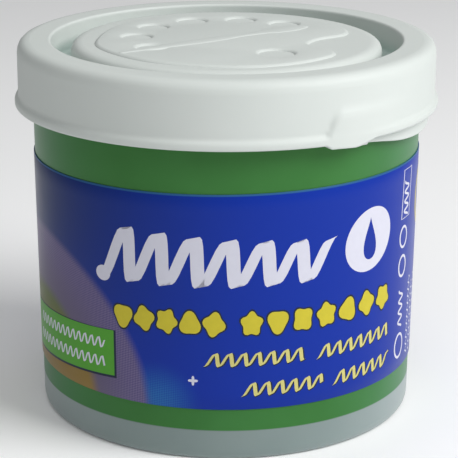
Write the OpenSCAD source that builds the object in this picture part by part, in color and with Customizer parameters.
// Snap-lid paint jar: a tapered moulded pot with a raised floor, its fill of
// paint, a wrap-round film label and a plug-sealed lid with a lift tab.
// The axis of the jar is Z, the table is at z = 0 and the label faces -Y.

/* [Jar] */
// Height from the table to the top of the neck
jar_h = 40.2; // [39:0.02:44]
// Outside radius of the tapered wall, extended down to the table
wall_r = 20.89; // [20.79:0.01:20.89]
// Outward taper of the wall, millimetres per millimetre of height
wall_taper = 0.015; // [0.011:0.0005:0.015]
// Thickness of the wall
wall_t = 1.1; // [1.1:0.02:1.2]
// Radius of the rounded corner at the foot
foot_corner_r = 0.9; // [0.6:0.1:1.3]
// Width of the flat ring that the jar stands on
foot_flat = 0.7; // [0.4:0.1:1.5]
// Height of the underside of the floor above the table
floor_z = 1.7; // [1.5:0.1:2.4]
// Thickness of the floor
floor_t = 1.1; // [0.9:0.1:1.6]
// Radius of the rounded corner between floor and wall, inside
inner_corner_r = 0.6; // [0.4:0.1:1.4]

/* [Neck] */
// Radius of the sealing bore in the neck
bore_r = 20.35; // [20.34:0.01:20.4]
// Depth of the sealing bore
bore_depth = 4; // [3.5:0.1:5]
// Outside radius of the snap bead round the neck
neck_bead_r = 21.62; // [21.58:0.01:21.64]
// Height of the snap bead
neck_bead_h = 1; // [0.6:0.1:1.2]
// Distance from the top of the neck down to the middle of the snap bead
neck_bead_down = 1.4; // [1.2:0.1:1.6]

/* [Lid] */
// Height of the lid's rim above the table
lid_top_z = 41.35; // [41.33:0.02:41.55]
// Height of the skirt's lower edge above the table
skirt_z = 34.3; // [34.1:0.1:35]
// Outside radius of the skirt
skirt_r = 23; // [22.9:0.05:23.3]
// Inside radius of the skirt
skirt_bore_r = 22; // [21.95:0.01:22.1]
// Radius of the rounded outer edge of the rim
rim_corner_r = 1.2; // [0.6:0.1:1.3]
// Outside radius of the plug that seals in the neck
plug_r = 20.3; // [20.27:0.01:20.33]
// Thickness of the plug and of the webs
web_t = 1; // [0.9:0.05:1.1]
// Height of the moat's floor above the table
moat_z = 38.2; // [37.9:0.1:38.6]
// Radius of the raised centre disc
disc_r = 17.1; // [16.5:0.1:17.4]
// Height of the centre disc above the table
disc_z = 41.1; // [41:0.05:41.1]
// Radius of the rounded edge of the centre disc
disc_corner_r = 1.2; // [0.6:0.1:1.4]

/* [Skirt bead and lift tab] */
// How far the bead along the skirt's lower edge stands out
skirt_bead = 0.4; // [0.2:0.05:0.4]
// Height of that bead
skirt_bead_h = 1; // [0.9:0.05:1.4]
// Radius over the lift tab
tab_r = 23.45; // [23.45:0.05:23.8]
// Height of the pad at each end of the lift tab
tab_h = 3.5; // [2:0.1:3.8]
// Angle where the tab starts, from +X towards +Y
tab_start = -64; // [-75:1:-50]
// Angle that the tab spans
tab_span = 92; // [80:1:100]
// Angle of the finger recess in the middle of the tab
recess_span = 64; // [40:1:66]
// How far the tab's two ends reach below the skirt
tab_drop = 0.7; // [0.5:0.1:1]
// Outside radius of the thin lip that is left behind the recess
lip_r = 22.3; // [22:0.05:22.4]
// How far the lip reaches below the skirt
lip_drop = 1.8; // [1.3:0.1:1.9]

/* [Relief on the disc] */
// Height of the palette and brush relief
relief_h = 0.2; // [0.1:0.05:0.2]
// Size of the palette, as a share of the size that fills the disc
palette_scale = 1; // [0.7:0.05:1]
// Length of the brush
brush_len = 25.9; // [18:0.1:26]

/* [Label] */
// Height of the label's lower edge
label_z = 5.8; // [5:0.1:7]
// Height of the label from edge to edge
label_h = 23.55; // [20:0.05:26]
// Thickness of the label film
label_t = 0.1; // [0.08:0.01:0.15]
// Thickness of the glue under the label
glue_t = 0.02; // [0.01:0.01:0.04]

/* [Paint] */
// Height of the paint's surface above the table
paint_z = 35.6; // [30:0.2:35.6]
// Gap between the paint and the wall
paint_gap = 0.02; // [0.01:0.01:0.05]

/* [Hidden] */
$fn = 144;
ARC_STEPS = 6;
SNAP_CLEAR = 0.04;
floor_top = floor_z + floor_t;
bore_z = jar_h - bore_depth;
neck_round = 0.25;
seat_z = jar_h + 0.04;
disc_under_z = disc_z - web_t;
moat_under_z = moat_z - web_t;
lid_bead_r = neck_bead_r + SNAP_CLEAR;
lid_bead_z = jar_h - neck_bead_down - neck_bead_h - 0.5;
draft = 0.15;

// Outside radius of the jar's tapered wall at height z
function wall_at(z) = wall_r + wall_taper * z;

// Points of an arc about [x, z], from angle a to angle b
function arc(x, z, r, a, b) =
    [for (i = [0:ARC_STEPS]) let (t = a + (b - a) * i / ARC_STEPS) [x + r * cos(t), z + r * sin(t)]];

// Half section of the space inside the jar, grown inwards by gap, up to height top
function cavity(gap, top) = let (
    r0 = wall_at(floor_top + inner_corner_r) - wall_t - gap,
    z0 = floor_top + gap
) concat(
    [[0, z0]],
    arc(r0 - inner_corner_r, z0 + inner_corner_r, inner_corner_r, -90, 0),
    [[wall_at(bore_z - 1) - wall_t - gap, bore_z - 1]],
    top > bore_z ? [[wall_at(bore_z) - wall_t - gap, bore_z]] : [],
    [[wall_at(min(top, bore_z)) - wall_t - gap, top], [0, top]]
);

// Half section of the pot's outside, from the axis round the foot to the top of the neck
function pot_outline() = let (
    corner_x = wall_at(foot_corner_r) - foot_corner_r,
    bead_z = jar_h - neck_bead_down,
    bead_half = neck_bead_h / 2
) concat(
    [[0, floor_z], [corner_x - foot_flat - draft, floor_z], [corner_x - foot_flat, 0]],
    arc(corner_x, foot_corner_r, foot_corner_r, -90, 0),
    [
        [wall_at(bead_z - bead_half), bead_z - bead_half],
        [neck_bead_r, bead_z - bead_half / 2],
        [neck_bead_r, bead_z + bead_half / 2],
        [wall_at(bead_z), bead_z + bead_half],
        [wall_at(bead_z), jar_h - neck_round],
        [wall_at(bead_z) - neck_round, jar_h],
        [0, jar_h]
    ]
);

module jar_body() {
    color([0.80, 0.84, 0.82, 0.6])
    difference() {
        rotate_extrude() polygon(pot_outline());
        rotate_extrude() polygon(cavity(0, jar_h + 1));
        translate([0, 0, bore_z]) cylinder(r = bore_r, h = bore_depth + 1);
    }
}

module paint() {
    color([0.20, 0.45, 0.18])
    rotate_extrude() polygon(cavity(paint_gap, paint_z));
}

// Half section of the label film, lying on its glue
function film() = let (top = label_z + label_h) [
    [wall_at(label_z) + glue_t, label_z],
    [wall_at(label_z) + glue_t + label_t, label_z],
    [wall_at(top) + glue_t + label_t, top],
    [wall_at(top) + glue_t, top]
];

module label() {
    color([0.06, 0.13, 0.50])
    rotate_extrude() polygon(film());
}

// Half section of the lid: skirt, rim, plug, moat and centre disc, of even thickness
function lid_outline() = let (
    bead_r = skirt_r + skirt_bead,
    bead_top = skirt_z + skirt_bead_h,
    plug_in = plug_r - web_t,
    edge = 0.3
) concat(
    [[0, disc_under_z], [disc_r - web_t, disc_under_z], [disc_r - web_t, moat_under_z]],
    [[plug_r - edge, moat_under_z], [plug_r, moat_under_z + edge], [plug_r, seat_z]],
    [[skirt_bore_r, seat_z], [skirt_bore_r, lid_bead_z + 0.7], [lid_bead_r, lid_bead_z + 0.4]],
    [[lid_bead_r, lid_bead_z - 0.1], [skirt_bore_r, lid_bead_z - 0.4], [skirt_bore_r, skirt_z]],
    [[bead_r - edge, skirt_z], [bead_r, skirt_z + edge], [bead_r, bead_top - skirt_bead]],
    [[skirt_r, bead_top]],
    arc(skirt_r - rim_corner_r, lid_top_z - rim_corner_r, rim_corner_r, 0, 90),
    arc(plug_in + edge, lid_top_z - edge, edge, 90, 180),
    [[plug_in, moat_z], [disc_r, moat_z]],
    arc(disc_r - disc_corner_r, disc_z - disc_corner_r, disc_corner_r, 0, 90),
    [[0, disc_z]]
);

// Half section of the pad at each end of the tab, rounded over at its top and bottom
function pad_outline() = let (
    low = skirt_z - 0.2,
    inside = skirt_bore_r + 0.3,
    core_r = skirt_r - 0.15,
    round_r = tab_r - core_r
) concat(
    [[inside, low]],
    arc(core_r, low + round_r, round_r, -90, 0),
    arc(core_r, low + tab_h - round_r, round_r, 0, 90),
    [[inside, low + tab_h]]
);

// Half section of a strip that hangs below the skirt by drop, from radius r0 to r1, rooted up to root
function strip_outline(r0, r1, drop, root) = let (low = skirt_z - drop, top = skirt_z + root, edge = 0.2) [
    [r0, low], [r1 - edge, low], [r1, low + edge], [r1, top], [r0, top]
];

// The lift tab: a padded end that hangs down at each side, and the thin lip between them
module lift_tab() {
    end_span = (tab_span - recess_span) / 2;
    tuck = 1;
    for (start = [0, tab_span - end_span])
        rotate([0, 0, start]) {
            rotate_extrude(angle = end_span) polygon(pad_outline());
            rotate([0, 0, tuck])
                rotate_extrude(angle = end_span - 2 * tuck)
                    polygon(strip_outline(lid_bead_r + 0.05, tab_r - 0.1, tab_drop, 0.5));
        }
    rotate([0, 0, end_span - 2 * tuck])
        rotate_extrude(angle = recess_span + 4 * tuck)
            polygon(strip_outline(lid_bead_r, lip_r, lip_drop, 0.65));
}

// A point at f between b and c on a smooth curve through a, b, c and d
function between(a, b, c, d, f) =
    0.5 * (2 * b + (c - a) * f + (2 * a - 5 * b + 4 * c - d) * f * f + (3 * b - a - 3 * c + d) * f * f * f);

// A smooth closed curve through the points, with a number of steps between each two
function closed_curve(points, steps) = let (n = len(points))
    [for (i = [0:n - 1], j = [0:steps - 1])
        between(points[(i + n - 1) % n], points[i], points[(i + 1) % n], points[(i + 2) % n], j / steps)];

// Flat outline of an artist's palette: a rounded board with a bay, a thumb hole and a row of paint wells
module palette_shape() {
    difference() {
        polygon(closed_curve([
            [0, -15], [6.2, -13.7], [11, -9.6], [11.2, -6.2], [8.9, -3.6], [10.2, -0.6], [13.4, 2.2],
            [13, 6.8], [8.6, 11.8], [1.5, 14.6], [-6.5, 13.2], [-12, 8], [-14.2, 0.5], [-13.6, -5.6],
            [-8.2, -12.2]
        ], 4));
        translate([5.2, -8.2]) circle(r = 1.9);
        for (a = [215, 180, 146, 113, 80, 48])
            translate([9.9 * cos(a), 9.9 * sin(a) + 0.6]) circle(r = 1.6);
    }
}

// Flat outline of a brush along +X: rounded end, full handle, ferrule and pointed hair
module brush_shape() {
    half = brush_len / 2;
    polygon([
        [-half, -0.35], [-half + 0.6, -0.65], [-half * 0.1, -1.3], [half * 0.24, -0.95],
        [half * 0.44, -0.95], [half * 0.64, -1.7], [half * 0.76, -1.68], [half * 0.9, -1.2], [half, 0],
        [half * 0.9, 1.2], [half * 0.76, 1.68], [half * 0.64, 1.7], [half * 0.44, 0.95],
        [half * 0.24, 0.95], [-half * 0.1, 1.3], [-half + 0.6, 0.65], [-half, 0.35]
    ]);
}

// The palette, and the brush that lies across it and stands a little higher
module relief() {
    sink = 0.1;
    translate([0, 0, disc_z - sink])
        linear_extrude(relief_h * 0.7 + sink) scale([palette_scale, palette_scale]) palette_shape();
    translate([-1.1, -1, disc_z - 1.5 * sink])
        rotate([0, 0, 35.9]) linear_extrude(relief_h + 1.5 * sink) brush_shape();
}

module lid() {
    color([0.82, 0.84, 0.83]) {
        rotate_extrude() polygon(lid_outline());
        rotate([0, 0, tab_start]) lift_tab();
        relief();
    }
}

jar_body();
paint();
label();
lid();
